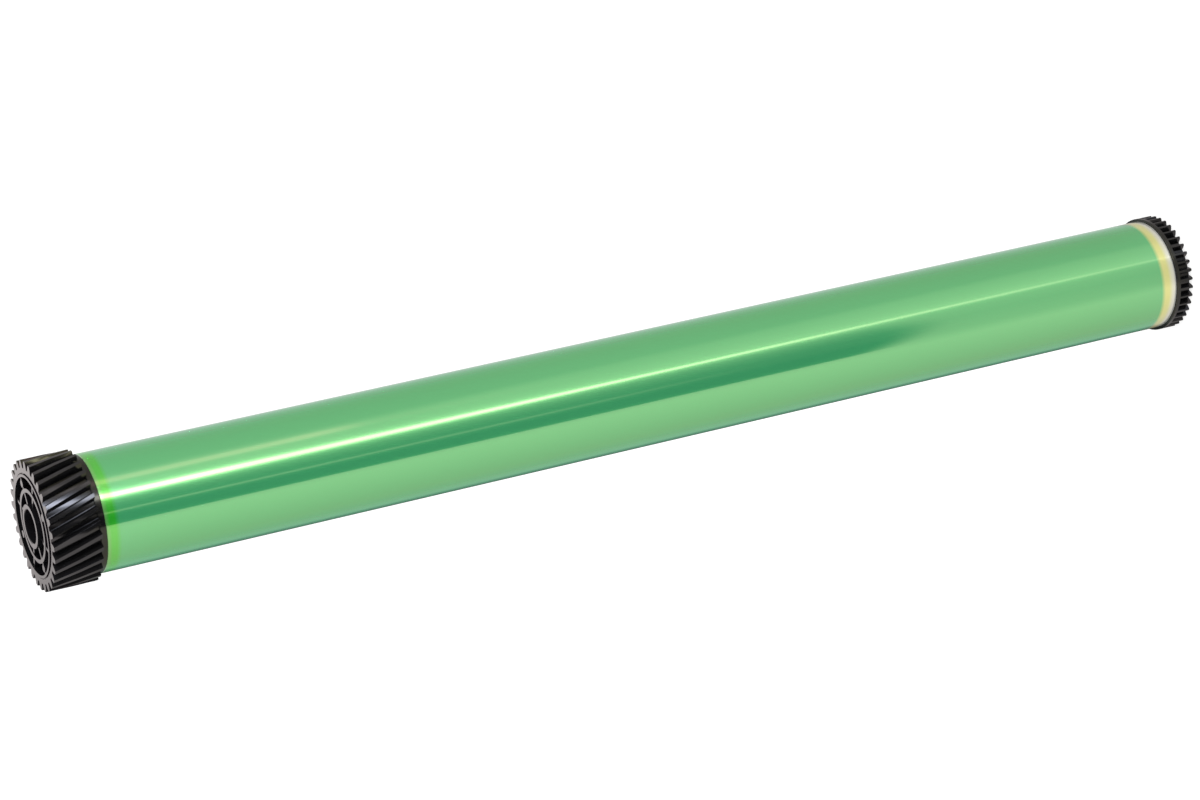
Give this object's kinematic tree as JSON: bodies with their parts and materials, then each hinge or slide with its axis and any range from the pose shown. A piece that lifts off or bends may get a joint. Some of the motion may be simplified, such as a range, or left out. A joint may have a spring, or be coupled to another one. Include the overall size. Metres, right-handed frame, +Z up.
{
  "type": "printer drum unit",
  "caption": "Long thin coated aluminium drum with a black helical gear flange on one end and a black spur gear flange on the other, both with open centre bores.",
  "frame": {"origin": "centre of the spur gear flange's outer face, on the drum's axis, where the drum stands", "axes": "+Z up along the drum's axis to the open face of the helical gear; +X towards the side that is on top when the drum lies down"},
  "size_m": [0.0264, 0.0264, 0.2645],
  "materials": {
    "coated_aluminium": "gloss",
    "black_moulding": "satin",
    "spring_steel": "satin"
  },
  "bodies": {
    "root": {"drum_tube": "coated_aluminium", "drive_gear_flange": "black_moulding", "spur_gear_flange": "black_moulding", "earth_contact_plate": "spring_steel"}
  },
  "joints": []
}
